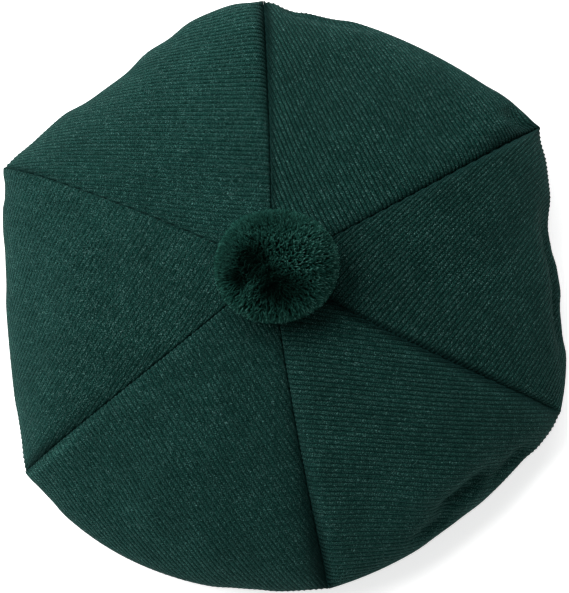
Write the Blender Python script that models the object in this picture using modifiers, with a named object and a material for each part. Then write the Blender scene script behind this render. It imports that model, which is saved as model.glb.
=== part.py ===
"""A knitted tam o'shanter lying on its headband: six crown panels, a ribbed band and a pompom.

Metres, +Z up. The origin is on the floor under the middle of the crown, +Y is the rear.
"""

import math
from collections import namedtuple

import bmesh
import bpy
import numpy as np

# Crown, all heights above the floor
CROWN_TOP = 0.0790  # the outer surface under the pompom
APEX = (-0.0050, 0.0020)  # where the seams meet, seen from above
APEX_HOLE = 0.050  # share of the way from apex to rim where the panels begin
DOME_SPREAD = 2.4  # how flat the dome stays near the apex
DOME_ROUND = 0.60  # how round it turns down at the rim
WALL = 0.0018  # the knitted fabric
SEAM_GAP = 0.0003  # between neighbouring panels
EDGE_ROLL = 0.0022  # radius of a turned-in edge at the apex and at the hem
RIM_ROLL = 0.0011  # and where it crosses the rim
GROOVE_FULL = 70.0  # the turn, out from the apex, to which the seams' grooves open
GROOVE_SHUT = 88.0  # and where they are shut
GROOVE_GROWTH = 1.6  # how late they open on the way there
ALLOWANCE = 0.0015  # how far a turned-in edge runs on below its roll

# Headband
BAND_INNER = 0.0860  # radius, about 540 mm round
BAND_THICK = 0.0042
BAND_HEIGHT = 0.0380
BAND_CORNER = 0.0011
BAND_STEPS = 56
HEM_RADIUS = BAND_INNER + BAND_THICK + 0.0005
HEM_HEIGHT = BAND_HEIGHT - 0.0008

# Pompom
POMPOM_SIZE = (0.0292, 0.0268, 0.0255)  # half its width, depth and height
POMPOM_SQUASH = 0.72  # share of its lower half's height that is left where it sits on the crown
POMPOM_SPLAY = 0.75  # how full its lower half stays towards the crown: 1 is a plain ball
POMPOM_BASE = CROWN_TOP + 0.0002
POMPOM_LEAN = (0.0013, -0.0023)  # how far its middle leans from the apex
POMPOM_LEAN_END = 1.3  # the ball stops leaning this far up, its middle being at 1
POMPOM_STEPS = 36
POMPOM_ROWS = 20
TIE_RADIUS = 0.0052
TIE_LENGTH = 0.0050
TIE_MARGIN = 0.01  # share of the ball's radius beyond the tie where the ball's own form starts

# The seams, counter-clockwise from +X as seen from above. reach is the distance of a seam's rim end
# from the origin, bow how far the seam strays counter-clockwise on its way there, height the rim's
# height there, and groove the widest radius of its two turned-in edges. valley is the depth of the
# soft hollow that it lies in, before and after its reach into the panels clockwise and
# counter-clockwise of the seam.
Seam = namedtuple("Seam", "name angle reach bow height groove valley before after")
SEAMS = (
    Seam("right_rear", 32.6, 0.1547, -0.0026, 0.0280, 0.0034, 0.0050, 0.0028, 0.0064),
    Seam("rear", 93.8, 0.1475, -0.0009, 0.0370, 0.0034, 0.0046, 0.0050, 0.0036),
    Seam("left_rear", 156.3, 0.1536, -0.0004, 0.0300, 0.0024, 0.0016, 0.0034, 0.0022),
    Seam("left_front", 215.7, 0.1565, 0.0022, 0.0270, 0.0026, 0.0032, 0.0052, 0.0026),
    Seam("front", 278.6, 0.1504, -0.0022, 0.0320, 0.0036, 0.0064, 0.0072, 0.0042),
    Seam("right_front", 336.1, 0.1510, -0.0049, 0.0240, 0.0034, 0.0052, 0.0055, 0.0028),
)

# Each panel starts at the seam in the same row above. bulge is how far its rim stands out from the
# straight line between its seams, lean moves the bulge towards its first seam, puff lifts its middle.
Panel = namedtuple("Panel", "name bulge lean puff")
PANELS = (
    Panel("crown_panel_rear_right", 0.0114, 0.0, 0.0035),
    Panel("crown_panel_rear_left", 0.0105, 0.1, 0.0040),
    Panel("crown_panel_left", 0.0038, 0.0, 0.0045),
    Panel("crown_panel_front_left", 0.0225, 0.1, 0.0035),
    Panel("crown_panel_front_right", 0.0124, 0.1, 0.0035),
    Panel("crown_panel_right", 0.0034, 2.2, 0.0040),
)

# Creases and soft dents. angle and spread are seen from above, turn and width go round the section:
# 0 is the apex, 90 the rim, 180 the hem. depth is how far the surface goes in, and a negative depth
# lifts a ridge.
Fold = namedtuple("Fold", "name angle spread turn width depth")
FOLDS = (
    Fold("front_right_crease", 311.5, 7.5, 69.0, 4.5, 0.0048),
    Fold("front_right_crease_head", 321.5, 6.0, 77.5, 4.5, 0.0036),
    Fold("front_right_crease_foot", 302.0, 5.0, 75.5, 4.5, 0.0032),
    Fold("front_right_ridge", 312.0, 13.0, 57.0, 8.0, -0.0024),
    Fold("right_crease", 2.0, 15.0, 77.0, 5.0, 0.0035),
    Fold("right_ridge", 2.0, 15.0, 66.0, 8.0, -0.0015),
    Fold("rear_crease", 81.0, 9.0, 76.0, 5.0, 0.0030),
    Fold("rear_step", 83.5, 6.5, 88.0, 24.0, 0.0020),
    Fold("rear_step_edge", 88.5, 2.4, 88.0, 24.0, 0.0010),
    Fold("rear_left_swell", 104.5, 8.0, 88.0, 24.0, -0.0035),
    Fold("rear_left_dent", 131.0, 9.0, 88.0, 24.0, 0.0042),
    Fold("left_rear_dent", 146.5, 5.5, 88.0, 24.0, 0.0012),
    Fold("left_notch", 160.5, 2.5, 88.0, 20.0, 0.0010),
    Fold("left_edge", 175.5, 6.0, 88.0, 24.0, 0.0009),
    Fold("left_front_dent", 208.0, 4.0, 88.0, 24.0, 0.0006),
    Fold("left_front_corner", 221.5, 3.5, 88.0, 24.0, 0.0008),
    Fold("front_left_edge", 236.0, 16.0, 88.0, 24.0, 0.0005),
    Fold("front_left_foot", 263.0, 4.5, 88.0, 24.0, 0.0008),
    Fold("front_right_dent", 305.0, 6.0, 88.0, 24.0, 0.0008),
    Fold("right_front_swell", 330.5, 4.5, 88.0, 24.0, -0.0017),
    Fold("right_front_dent", 353.5, 5.0, 88.0, 24.0, 0.0017),
    Fold("right_dent", 10.5, 4.0, 88.0, 24.0, 0.0010),
    Fold("right_rear_swell", 23.2, 6.4, 88.0, 24.0, -0.0032),
    Fold("right_rear_pit", 36.2, 2.7, 74.0, 9.0, 0.0046),
    Fold("rear_right_swell", 39.6, 4.6, 90.0, 14.0, -0.0010),
    Fold("front_left_hollow", 229.0, 8.0, 52.0, 15.0, 0.0030),
    Fold("front_left_dent", 243.0, 11.0, 64.0, 16.0, 0.0012),
    Fold("front_right_hollow", 293.0, 7.0, 50.0, 14.0, 0.0020),
    Fold("rear_hollow", 73.0, 8.0, 46.0, 13.0, 0.0020),
    Fold("rear_right_hollow", 46.0, 8.0, 42.0, 13.0, 0.0022),
    Fold("left_ridge", 182.0, 13.0, 42.0, 11.0, -0.0020),
    Fold("left_dent", 190.0, 12.0, 60.0, 18.0, 0.0014),
)

# Hollows between the pompom's tufts, as directions from its middle. width is in degrees.
Tuft = namedtuple("Tuft", "name azimuth elevation width depth")
TUFTS = (
    Tuft("parting", 215.0, 62.0, 24.0, 0.0050),
    Tuft("parting_foot", 275.0, 42.0, 17.0, 0.0034),
    Tuft("rear_hollow", 70.0, 30.0, 20.0, 0.0016),
    Tuft("right_hollow", 345.0, 35.0, 18.0, 0.0014),
    Tuft("left_hollow", 170.0, 20.0, 18.0, 0.0014),
)

# The underside's section from the rim in to the hem. reach is the share of the way from hem to rim.
Station = namedtuple("Station", "name reach height")
UNDERSIDE = (
    Station("above_rim", 0.940, 0.0370),
    Station("rim", 1.000, 0.0270),
    Station("turn", 0.940, 0.0170),
    Station("belly", 0.790, 0.0095),
    Station("sag", 0.570, 0.0075),
    Station("slope", 0.350, 0.0145),
    Station("rise", 0.160, 0.0265),
    Station("hem", 0.000, HEM_HEIGHT),
    Station("beyond_hem", -0.160, 0.0500),
)

# Where the panels' rows and columns of faces lie
TOP_ROWS = 13
UNDER_ROWS = 8
ROW_BIAS = 0.92  # under 1, the rows crowd towards the rim
INNER_COLUMNS = (0.0, 0.035, 0.09, 0.19, 0.34, 0.5, 0.66, 0.81, 0.91, 0.965, 1.0)  # shares of the width

# Steps for the surface's slopes: a share of a panel's width, and degrees of turn
SMALL_SHARE = 0.002
SMALL_TURN = 0.4

SHARP_ANGLE = 50.0  # degrees between faces, past which an edge shows as sharp

WOOL = (0.011, 0.052, 0.040, 1.0)
BAND_WOOL = (0.009, 0.045, 0.034, 1.0)
POMPOM_WOOL = (0.010, 0.060, 0.045, 1.0)


def clear_scene():
    for thing in list(bpy.data.objects):
        bpy.data.objects.remove(thing, do_unlink=True)


def wool(name, colour):
    material = bpy.data.materials.new(name)
    material.use_nodes = True
    surface = material.node_tree.nodes["Principled BSDF"]
    surface.inputs["Base Color"].default_value = colour
    surface.inputs["Roughness"].default_value = 0.9
    surface.inputs["Metallic"].default_value = 0.0
    return material


def unit(vectors):
    return vectors / np.linalg.norm(vectors, axis=-1, keepdims=True)


def mix(first, last, share):
    return first + (last - first) * share


def catmull_rom(values, place):
    """A smooth curve through values[1:-1]; place runs from 0 to 1."""
    values = np.asarray(values, float)
    spans = len(values) - 3
    place = np.clip(np.asarray(place, float), 0.0, 1.0) * spans
    index = np.minimum(place.astype(int), spans - 1)
    t = place - index
    a, b, c, d = (values[index + step] for step in range(4))
    return b + 0.5 * t * (c - a + t * (2 * a - 5 * b + 4 * c - d + t * (3 * (b - c) + d - a)))


def seam_end(seam):
    angle = math.radians(seam.angle)
    return np.array([math.cos(angle), math.sin(angle)]) * seam.reach


def panel_seams(index):
    """A panel's two seams, the second one's angle counted on past the first's."""
    first, last = SEAMS[index], SEAMS[(index + 1) % len(SEAMS)]
    if last.angle < first.angle:
        last = last._replace(angle=last.angle + 360.0)
    return first, last


def rim_line(index, across):
    """The rim seen from above: the chord between two seams, bulged out."""
    first, last = (seam_end(seam) for seam in panel_seams(index))
    chord = last - first
    outward = unit(np.array([chord[1], -chord[0]]))
    panel = PANELS[index]
    bulge = panel.bulge * 4 * across * (1 - across) * (1 + panel.lean * (1 - 2 * across))
    return first + chord * across[..., None] + outward * bulge[..., None]


def top_section(turn):
    """Share of the way out to the rim, and share of the height left above it."""
    angle = np.radians(np.clip(turn, 0.0, 90.0))
    return np.sin(angle) ** (2 / DOME_SPREAD), np.abs(np.cos(angle)) ** (2 * DOME_ROUND)


def seam_bow(index, across, reach):
    """How far the seams' sideways bows carry the points between them."""
    moved = 0.0
    for seam, share in zip(panel_seams(index), (1 - across, across)):
        direction = unit(seam_end(seam) - np.array(APEX))
        sideways = np.array([-direction[1], direction[0]])
        moved = moved + sideways * (seam.bow * 4 * reach * (1 - reach) * share)[..., None]
    return moved


def smooth_step(share):
    share = np.clip(share, 0.0, 1.0)
    return share * share * (3 - 2 * share)


def groove_share(turn):
    """How open the seams' grooves are along the top: widest near the rim, and shut as they cross it."""
    reach, _ = top_section(turn)
    return reach**GROOVE_GROWTH * (1 - smooth_step((turn - GROOVE_FULL) / (GROOVE_SHUT - GROOVE_FULL)))


def valley_depth(index, across, turn):
    """How far the soft valleys along both seams take the top down."""
    first, last = panel_seams(index)
    width = np.linalg.norm(seam_end(last) - seam_end(first)) * top_section(turn)[0]
    down = first.valley * np.exp(-((across * width / first.after) ** 2))
    down = down + last.valley * np.exp(-(((1 - across) * width / last.before) ** 2))
    return down * groove_share(turn)


def smooth_crown(index, across, turn):
    """Points of a panel's outer surface before its folds and turned-in edges."""
    across, turn = (np.asarray(part, float) for part in np.broadcast_arrays(across, turn))
    first, last = panel_seams(index)
    rim = rim_line(index, across)
    rim_height = mix(first.height, last.height, across)
    reach, rise = top_section(turn)
    top = np.array(APEX) + (rim - np.array(APEX)) * reach[..., None]
    top = top + seam_bow(index, across, reach)
    puff = PANELS[index].puff * np.sin(np.pi * across) * np.sin(np.radians(2 * np.clip(turn, 0, 90)))
    top_height = mix(rim_height, CROWN_TOP, rise) + puff - valley_depth(index, across, turn)

    place = np.clip((turn - 90.0) / 90.0, 0.0, 1.0)
    inward = catmull_rom([station.reach for station in UNDERSIDE], place)
    height = catmull_rom([station.height for station in UNDERSIDE], place)
    angle = np.radians(mix(first.angle, last.angle, across))
    hem = np.stack([np.cos(angle), np.sin(angle)], axis=-1) * HEM_RADIUS
    under = mix(hem, rim, inward[..., None])
    under_height = height + (rim_height - UNDERSIDE[1].height) * inward**2

    above = turn <= 90.0
    plan = np.where(above[..., None], top, under)
    return np.concatenate([plan, np.where(above, top_height, under_height)[..., None]], axis=-1)


def outward(index, across, turn):
    """Unit normals of the smooth surface, by small differences."""
    across, turn = (np.asarray(part, float) for part in np.broadcast_arrays(across, turn))
    left, right = np.clip(across - SMALL_SHARE, 0, 1), np.clip(across + SMALL_SHARE, 0, 1)
    above, below = np.maximum(turn - SMALL_TURN, SMALL_TURN), np.minimum(turn + SMALL_TURN, 180.0)
    sideways = smooth_crown(index, right, turn) - smooth_crown(index, left, turn)
    down = smooth_crown(index, across, below) - smooth_crown(index, across, above)
    return unit(np.cross(down, sideways))


def fold_depth(index, across, turn):
    """How far the folds take the surface in, at each point."""
    rim = rim_line(index, across)
    angle = np.degrees(np.arctan2(rim[..., 1], rim[..., 0]))
    depth = np.zeros_like(turn)
    for fold in FOLDS:
        aside = (angle - fold.angle + 180.0) % 360.0 - 180.0
        along = np.exp(-((aside / fold.spread) ** 4))
        depth = depth + fold.depth * along * np.exp(-(((turn - fold.turn) / fold.width) ** 2))
    return depth


def crown(index, across, turn):
    """Points of a panel's outer surface with its folds."""
    across, turn = (np.asarray(part, float) for part in np.broadcast_arrays(across, turn))
    points = smooth_crown(index, across, turn)
    return points - outward(index, across, turn) * fold_depth(index, across, turn)[..., None]


def edge_roll(seam, turn):
    """Radius of a seam's turned-in edges: widest in its groove, smallest where it crosses the rim."""
    past = smooth_step((turn - GROOVE_FULL) / (GROOVE_SHUT - GROOVE_FULL))
    under = smooth_step((turn - GROOVE_SHUT) / (180.0 - GROOVE_SHUT))
    plain = mix(mix(EDGE_ROLL, RIM_ROLL, past), EDGE_ROLL, under)
    return plain + (seam.groove - EDGE_ROLL) * groove_share(turn)


def edge_columns(index, at_last, turn):
    """The three columns of points of a turned-in edge: its tip, its root and halfway up its roll."""
    seam = panel_seams(index)[at_last]
    neighbour = (index + (1 if at_last else -1)) % len(PANELS)
    here, there = (1.0, 0.0) if at_last else (0.0, 1.0)
    line = crown(index, here, turn)
    normal = unit(outward(index, here, turn) + outward(neighbour, there, turn))
    along = unit(np.gradient(line, axis=0))
    inside = unit(np.cross(normal, along)) * (-1 if at_last else 1)
    normal = unit(np.cross(along, inside)) * (-1 if at_last else 1)
    roll = edge_roll(seam, turn)[:, None]
    line = line + inside * SEAM_GAP / 2
    quarter = math.sqrt(0.5)
    return (
        line - normal * (roll + ALLOWANCE),
        line - normal * roll,
        line - normal * roll * (1 - quarter) + inside * roll * (1 - quarter),
    )


def panel_points(index):
    """Rows of points from the apex to the hem, each going across from the first seam to the last."""
    start = math.degrees(math.asin(APEX_HOLE ** (DOME_SPREAD / 2)))
    down = np.linspace(0.0, 1.0, TOP_ROWS) ** ROW_BIAS
    turn = np.concatenate([mix(start, 90.0, down), np.linspace(90.0, 180.0, UNDER_ROWS + 1)[1:]])
    width = np.linalg.norm(crown(index, 1.0, turn) - crown(index, 0.0, turn), axis=-1)
    first, last = panel_seams(index)
    low = edge_roll(first, turn) / width
    high = 1.0 - edge_roll(last, turn) / width
    columns = [crown(index, mix(low, high, share), turn) for share in INNER_COLUMNS]
    columns = [*edge_columns(index, False, turn), *columns, *reversed(edge_columns(index, True, turn))]
    return np.stack(columns, axis=1)


def loft(name, points):
    """A sheet of faces through rows of points."""
    mesh = bpy.data.meshes.new(name)
    shape = bmesh.new()
    rows = [[shape.verts.new(point) for point in row] for row in points]
    for above, below in zip(rows, rows[1:]):
        for corner in range(len(above) - 1):
            shape.faces.new((above[corner], below[corner], below[corner + 1], above[corner + 1]))
    shape.to_mesh(mesh)
    shape.free()
    return mesh


def place(name, mesh, material, collection, parent):
    mesh.shade_smooth()
    mesh.set_sharp_from_angle(angle=math.radians(SHARP_ANGLE))
    mesh.materials.append(material)
    thing = bpy.data.objects.new(name, mesh)
    thing.parent = parent
    collection.objects.link(thing)
    return thing


def make_panel(index, collection, parent):
    name = PANELS[index].name
    mesh = loft(name, panel_points(index))
    panel = place(name, mesh, wool(name, WOOL), collection, parent)
    wall = panel.modifiers.new("wall", "SOLIDIFY")
    wall.thickness = WALL
    wall.offset = -1.0
    wall.use_even_offset = True
    wall.thickness_clamp = 1.0
    return panel


def profile_mesh(name, outline):
    """A chain of edges in the XZ plane, for turning."""
    mesh = bpy.data.meshes.new(name)
    edges = [(step, step + 1) for step in range(len(outline) - 1)]
    mesh.from_pydata([(radius, 0.0, height) for radius, height in outline], edges, [])
    return mesh


def turned(thing, steps):
    screw = thing.modifiers.new("turn", "SCREW")
    screw.steps = steps
    screw.render_steps = steps
    screw.use_merge_vertices = True
    screw.merge_threshold = 0.00001


def make_headband(collection, parent):
    outer = BAND_INNER + BAND_THICK
    right, left = outer - BAND_CORNER, BAND_INNER + BAND_CORNER
    low, high = BAND_CORNER, BAND_HEIGHT - BAND_CORNER
    outline = []
    for radius, height, start in ((right, high, 90), (right, low, 0), (left, low, -90), (left, high, -180)):
        for angle in (math.radians(start), math.radians(start - 90)):
            corner = (BAND_CORNER * math.cos(angle), BAND_CORNER * math.sin(angle))
            outline.append((radius + corner[0], height + corner[1]))
    outline.append(outline[0])
    mesh = profile_mesh("headband", outline)
    band = place("headband", mesh, wool("headband", BAND_WOOL), collection, parent)
    turned(band, BAND_STEPS)
    return band


def tuft_depth(direction):
    """How far the hollows between the tufts take the ball in along one direction."""
    depth = 0.0
    for tuft in TUFTS:
        azimuth, elevation = math.radians(tuft.azimuth), math.radians(tuft.elevation)
        level = math.cos(elevation)
        middle = (level * math.cos(azimuth), level * math.sin(azimuth), math.sin(elevation))
        away = math.degrees(math.acos(max(-1.0, min(1.0, float(np.dot(direction, middle))))))
        depth += tuft.depth * math.exp(-((away / tuft.width) ** 2))
    return depth


def pompom_outline():
    """The ball's section from its top down to the end of its tie, as a unit ball's (radius, height)."""
    radius = POMPOM_SIZE[0]
    last = math.pi - math.asin(TIE_RADIUS / radius)
    angles = [last * row / (POMPOM_ROWS - 1) for row in range(POMPOM_ROWS)]
    ball = [(math.sin(angle), math.cos(angle)) for angle in angles]
    end = -1.0 - TIE_LENGTH / (POMPOM_SIZE[2] * POMPOM_SQUASH)
    return [*ball, (TIE_RADIUS / radius, end), (0.0, end)]


def shape_pompom(point):
    """A point of the unit ball at its real size, dented, squashed and leaning from the apex."""
    point = np.array(point)
    level = math.hypot(point[0], point[1])
    spot = point * np.array(POMPOM_SIZE)
    if level > TIE_RADIUS / POMPOM_SIZE[0] + TIE_MARGIN or point[2] > 0.0:
        direction = point / np.linalg.norm(point)
        spot -= direction * tuft_depth(direction)
        if point[2] < 0.0:
            spot[:2] *= level ** (POMPOM_SPLAY - 1.0)
    if spot[2] < 0.0:
        spot[2] *= POMPOM_SQUASH
    middle = POMPOM_SIZE[2] * POMPOM_SQUASH
    lean = min(max(0.0, 1.0 + spot[2] / middle), POMPOM_LEAN_END)
    return (
        APEX[0] + spot[0] + POMPOM_LEAN[0] * lean,
        APEX[1] + spot[1] + POMPOM_LEAN[1] * lean,
        POMPOM_BASE + middle + spot[2],
    )


def make_pompom(collection, parent):
    guide = bpy.data.objects.new("pompom_section", profile_mesh("pompom_section", pompom_outline()))
    collection.objects.link(guide)
    turned(guide, POMPOM_STEPS)
    bpy.context.view_layer.update()
    mesh = bpy.data.meshes.new_from_object(guide.evaluated_get(bpy.context.evaluated_depsgraph_get()))
    bpy.data.objects.remove(guide, do_unlink=True)
    mesh.name = "pompom"
    for vertex in mesh.vertices:
        vertex.co = shape_pompom(tuple(vertex.co))
    return place("pompom", mesh, wool("pompom", POMPOM_WOOL), collection, parent)


def main():
    clear_scene()
    collection = bpy.data.collections.new("tam_o_shanter")
    bpy.context.scene.collection.children.link(collection)
    parent = bpy.data.objects.new("tam_o_shanter_root", None)
    collection.objects.link(parent)
    for index in range(len(PANELS)):
        make_panel(index, collection, parent)
    make_headband(collection, parent)
    make_pompom(collection, parent)


main()
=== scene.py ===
"""The looks of a knitted tam o'shanter: ribbed knit panels, a ribbed headband and a cut-yarn pompom.

Metres, +Z up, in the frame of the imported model. The crown's form is worked out as the model's is,
and its ribs run over it as real relief.
"""

import math
from collections import namedtuple

import bmesh
import bpy
import numpy as np
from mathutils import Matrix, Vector


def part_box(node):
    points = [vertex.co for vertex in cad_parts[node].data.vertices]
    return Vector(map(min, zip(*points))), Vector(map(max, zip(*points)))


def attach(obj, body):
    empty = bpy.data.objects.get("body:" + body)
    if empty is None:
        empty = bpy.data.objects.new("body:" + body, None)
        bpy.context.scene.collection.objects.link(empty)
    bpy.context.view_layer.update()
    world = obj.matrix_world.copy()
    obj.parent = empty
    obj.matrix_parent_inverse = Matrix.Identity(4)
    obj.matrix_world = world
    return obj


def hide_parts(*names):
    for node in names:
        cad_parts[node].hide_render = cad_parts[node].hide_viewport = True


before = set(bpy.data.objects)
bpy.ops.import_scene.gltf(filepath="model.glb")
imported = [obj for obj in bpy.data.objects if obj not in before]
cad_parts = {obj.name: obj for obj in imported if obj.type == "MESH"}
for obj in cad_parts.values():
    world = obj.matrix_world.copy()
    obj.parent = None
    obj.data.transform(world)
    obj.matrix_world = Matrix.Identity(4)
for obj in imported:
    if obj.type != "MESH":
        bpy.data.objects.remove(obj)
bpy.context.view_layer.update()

# The crown's form, as in the model. turn goes round a panel's section in degrees: 0 is the apex, 90 the
# rim and 180 the hem. across is the share of the way from a panel's first seam to its last one.
BAND_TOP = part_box("headband")[1].z
BAND_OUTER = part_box("headband")[1].x
CROWN_TOP = 0.0790
APEX = (-0.0050, 0.0020)
APEX_HOLE = 0.050
DOME_SPREAD = 2.4
DOME_ROUND = 0.60
WALL = 0.0018
SHOWN_GAP = 0.00003  # what is left of the gap between the knit's fuzzy edges
EDGE_ROLL = 0.0022
RIM_ROLL = 0.0006  # tighter than the model's, because the ribs' ends there are only sewn flat
GROOVE_FULL = 70.0
GROOVE_SHUT = 88.0
GROOVE_GROWTH = 1.6
ALLOWANCE = 0.0015
HEM_RADIUS = BAND_OUTER + 0.0005
HEM_HEIGHT = BAND_TOP - 0.0008

Seam = namedtuple("Seam", "name angle reach bow height groove valley before after")
SEAMS = (
    Seam("right_rear", 32.6, 0.1547, -0.0026, 0.0280, 0.0034, 0.0050, 0.0028, 0.0064),
    Seam("rear", 93.8, 0.1475, -0.0009, 0.0370, 0.0034, 0.0046, 0.0050, 0.0036),
    Seam("left_rear", 156.3, 0.1536, -0.0004, 0.0300, 0.0024, 0.0016, 0.0034, 0.0022),
    Seam("left_front", 215.7, 0.1565, 0.0022, 0.0270, 0.0026, 0.0032, 0.0052, 0.0026),
    Seam("front", 278.6, 0.1504, -0.0022, 0.0320, 0.0036, 0.0064, 0.0072, 0.0042),
    Seam("right_front", 336.1, 0.1510, -0.0049, 0.0240, 0.0034, 0.0052, 0.0055, 0.0028),
)
Panel = namedtuple("Panel", "name bulge lean puff")
PANELS = (
    Panel("crown_panel_rear_right", 0.0114, 0.0, 0.0035),
    Panel("crown_panel_rear_left", 0.0105, 0.1, 0.0040),
    Panel("crown_panel_left", 0.0038, 0.0, 0.0045),
    Panel("crown_panel_front_left", 0.0225, 0.1, 0.0035),
    Panel("crown_panel_front_right", 0.0124, 0.1, 0.0035),
    Panel("crown_panel_right", 0.0034, 2.2, 0.0040),
)
Fold = namedtuple("Fold", "name angle spread turn width depth")
FOLDS = (
    Fold("front_right_crease", 311.5, 7.5, 69.0, 4.5, 0.0048),
    Fold("front_right_crease_head", 321.5, 6.0, 77.5, 4.5, 0.0036),
    Fold("front_right_crease_foot", 302.0, 5.0, 75.5, 4.5, 0.0032),
    Fold("front_right_ridge", 312.0, 13.0, 57.0, 8.0, -0.0024),
    Fold("right_crease", 2.0, 15.0, 77.0, 5.0, 0.0035),
    Fold("right_ridge", 2.0, 15.0, 66.0, 8.0, -0.0015),
    Fold("rear_crease", 81.0, 9.0, 76.0, 5.0, 0.0030),
    Fold("rear_step", 83.5, 6.5, 88.0, 24.0, 0.0020),
    Fold("rear_step_edge", 88.5, 2.4, 88.0, 24.0, 0.0010),
    Fold("rear_left_swell", 104.5, 8.0, 88.0, 24.0, -0.0035),
    Fold("rear_left_dent", 131.0, 9.0, 88.0, 24.0, 0.0042),
    Fold("left_rear_dent", 146.5, 5.5, 88.0, 24.0, 0.0012),
    Fold("left_notch", 160.5, 2.5, 88.0, 20.0, 0.0010),
    Fold("left_edge", 175.5, 6.0, 88.0, 24.0, 0.0009),
    Fold("left_front_dent", 208.0, 4.0, 88.0, 24.0, 0.0006),
    Fold("left_front_corner", 221.5, 3.5, 88.0, 24.0, 0.0008),
    Fold("front_left_edge", 236.0, 16.0, 88.0, 24.0, 0.0005),
    Fold("front_left_foot", 263.0, 4.5, 88.0, 24.0, 0.0008),
    Fold("front_right_dent", 305.0, 6.0, 88.0, 24.0, 0.0008),
    Fold("right_front_swell", 330.5, 4.5, 88.0, 24.0, -0.0017),
    Fold("right_front_dent", 353.5, 5.0, 88.0, 24.0, 0.0017),
    Fold("right_dent", 10.5, 4.0, 88.0, 24.0, 0.0010),
    Fold("right_rear_swell", 23.2, 6.4, 88.0, 24.0, -0.0032),
    Fold("right_rear_pit", 36.2, 2.7, 74.0, 9.0, 0.0046),
    Fold("rear_right_swell", 39.6, 4.6, 90.0, 14.0, -0.0010),
    Fold("front_left_hollow", 229.0, 8.0, 52.0, 15.0, 0.0030),
    Fold("front_left_dent", 243.0, 11.0, 64.0, 16.0, 0.0012),
    Fold("front_right_hollow", 293.0, 7.0, 50.0, 14.0, 0.0020),
    Fold("rear_hollow", 73.0, 8.0, 46.0, 13.0, 0.0020),
    Fold("rear_right_hollow", 46.0, 8.0, 42.0, 13.0, 0.0022),
    Fold("left_ridge", 182.0, 13.0, 42.0, 11.0, -0.0020),
    Fold("left_dent", 190.0, 12.0, 60.0, 18.0, 0.0014),
)
Station = namedtuple("Station", "name reach height")
UNDERSIDE = (
    Station("above_rim", 0.940, 0.0370),
    Station("rim", 1.000, 0.0270),
    Station("turn", 0.940, 0.0170),
    Station("belly", 0.790, 0.0095),
    Station("sag", 0.570, 0.0075),
    Station("slope", 0.350, 0.0145),
    Station("rise", 0.160, 0.0265),
    Station("hem", 0.000, HEM_HEIGHT),
    Station("beyond_hem", -0.160, 0.0500),
)
SMALL_SHARE = 0.002  # steps across and round the section from which slopes are measured
SMALL_TURN = 0.4

# The pompom's form, as in the model
POMPOM_SIZE = (0.0292, 0.0268, 0.0255)
POMPOM_SQUASH = 0.72
POMPOM_SPLAY = 0.75
POMPOM_BASE = CROWN_TOP + 0.0002
POMPOM_LEAN = (0.0013, -0.0023)
POMPOM_LEAN_END = 1.3
POMPOM_FOOT = 0.1  # distance from the unit ball's axis inside which its underside splays no further
Tuft = namedtuple("Tuft", "name azimuth elevation width depth")
TUFTS = (
    Tuft("parting", 215.0, 62.0, 24.0, 0.0050),
    Tuft("parting_foot", 275.0, 42.0, 17.0, 0.0034),
    Tuft("rear_hollow", 70.0, 30.0, 20.0, 0.0016),
    Tuft("right_hollow", 345.0, 35.0, 18.0, 0.0014),
    Tuft("left_hollow", 170.0, 20.0, 18.0, 0.0014),
)

# Its cut yarn: strands that stand out from a dark core
STRANDS = 9900
STRAND_LOWEST = -0.80  # height on the unit ball where the lowest strands point
STRAND_RADIUS = 0.00038
STRAND_ROOT = 0.58  # share of the way from the ball's middle to its surface where strands start
STRAND_LEAST = 0.15  # and the least share of it that a strand takes, where strands part
STRAND_JITTER = 0.028  # how far they stray from an even spread, on the unit ball
STRAND_UNEVEN = 0.00042  # how far their ends stray in and out
STRAND_PROUD = 0.0011  # how far they stand out past the model's solid, on average
STRAND_BEND = 0.0012
STRAND_SKEW = 0.1  # keeps a strand's sideways direction off its own
STRAND_PLACES = (0.0, 0.62, 1.0)  # shares of a strand's length where its rings of points lie
STRAND_TAPER = (0.75, 1.00, 0.62)  # and shares of its radius there
STRAND_SIDES = 4
STRAND_SEED = 11
CORE_SHARE = 0.66
CORE_FINENESS = 5  # times that the core's ball is subdivided
# Where strands part and let the dark inside show. depth is the share of the ball's radius that is
# missing, and shade how much painted shade darkens the strands there.
Parting = namedtuple("Parting", "azimuth elevation width depth shade")
PARTINGS = (
    Parting(190.0, 62.0, 24.0, 0.52, 0.00),
    Parting(250.0, 66.0, 18.0, 0.46, 0.00),
    Parting(277.0, 45.0, 27.0, 0.52, 0.00),
    Parting(302.0, 40.0, 20.0, 0.28, 0.00),
    Parting(208.0, 30.0, 16.0, 0.44, 0.00),
    Parting(172.0, 28.0, 44.0, 0.14, 0.12),
    Parting(105.0, 32.0, 46.0, 0.08, 0.14),
)
PARTING_EDGE = 2.6  # how steep their sides are

# The knit: each rib is one raised column of stitches, and rows run across the ribs
RIB_PITCH = 0.00230
ROW_PITCH = 0.00118
RIB_RELIEF = 0.00045
RIB_SINK = 0.00025  # how far below the plain surface the gaps between ribs start
RIB_ROUND = 0.75  # below 1, so that crests are broad and the gaps between them narrow
INNER_RELIEF = 0.5  # share of the ribs' relief on a panel's inner side
RIM_FLAT, RIM_FLAT_TURNS = 0.70, 9.0  # how far ribs are stretched flat on the rim, and how near it
WAVE_MEAN = 0.70  # share of a crest's height to which they are stretched there
RIB_LINES = 6  # lines of points to a rib
RIB_COLUMNS = 66  # points along a rib line, without those at its ends
INNER_COLUMNS = 12
ROLL_SHARES = (0.0, 0.08, 0.28, 0.60, 1.0)  # of a turned-in edge's radius, where its points lie
ROLL_MOST = 0.3  # the most of a rib line that one turned-in edge takes
ROLL_LEAST = 1.05  # an edge's least radius, in depths below the surface
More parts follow.
